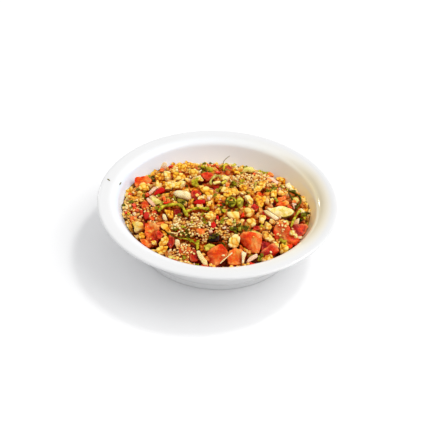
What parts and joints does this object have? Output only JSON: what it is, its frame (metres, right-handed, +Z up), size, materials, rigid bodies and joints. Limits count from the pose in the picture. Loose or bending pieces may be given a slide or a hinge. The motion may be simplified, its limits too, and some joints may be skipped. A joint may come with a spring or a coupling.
{
  "type": "bowl of chopped salad",
  "caption": "Round white rimmed bowl on a foot ring, filled with a mound of finely chopped tomato, pepper, nut and herb salad.",
  "frame": {"origin": "centre of the foot ring's underside, where the bowl stands", "axes": "+Z up along the bowl's axis of revolution, +Y away from the side that the picture shows in front, +X to its right"},
  "size_m": [0.2, 0.2, 0.048],
  "materials": {
    "glazed_white": "smooth glossy white glaze",
    "chopped_salad": "moist mixed chopped vegetables, nuts, grains and herbs"
  },
  "bodies": {
    "root": {"bowl": "glazed_white", "salad_heap": "chopped_salad"}
  },
  "joints": []
}
